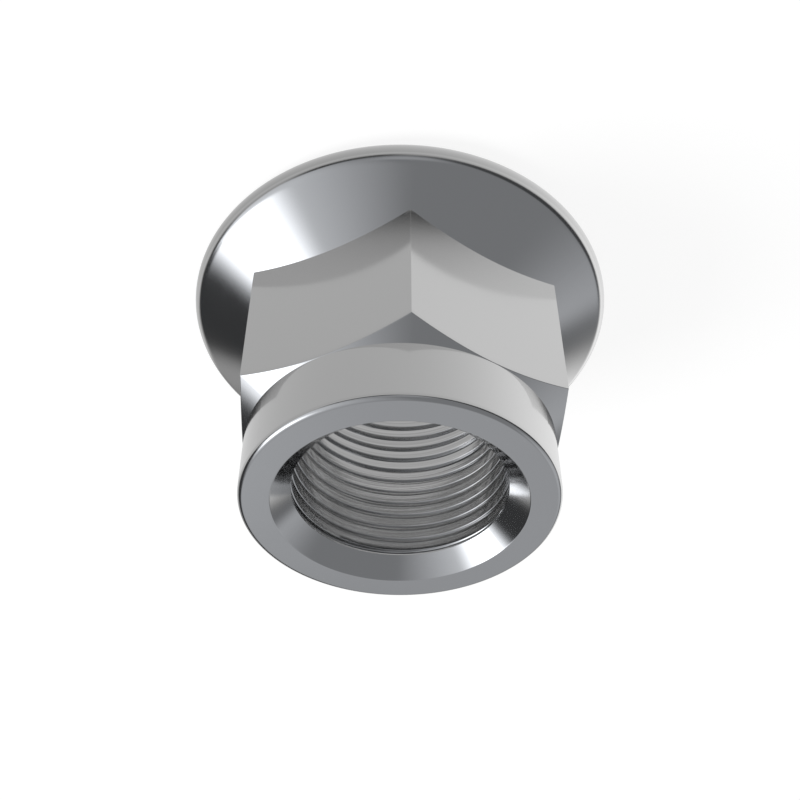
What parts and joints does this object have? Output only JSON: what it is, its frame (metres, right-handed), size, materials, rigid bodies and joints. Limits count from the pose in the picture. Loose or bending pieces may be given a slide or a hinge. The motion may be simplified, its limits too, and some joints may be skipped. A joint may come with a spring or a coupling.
{
  "type": "flanged hex lock nut",
  "caption": "Steel hex nut with a conical flange that has a rounded rim, and a round locking collar above the hexagon with a wide countersunk mouth and a fine internal thread.",
  "frame": {"origin": "centre of the bearing face, on the thread's axis", "axes": "+Z along the thread towards the collar's end, +X through a corner of the hexagon"},
  "size_m": [0.0434, 0.0434, 0.027],
  "materials": {
    "steel": "fine turned and milled, satin"
  },
  "bodies": {
    "root": {"lock_nut": "steel"}
  },
  "joints": []
}
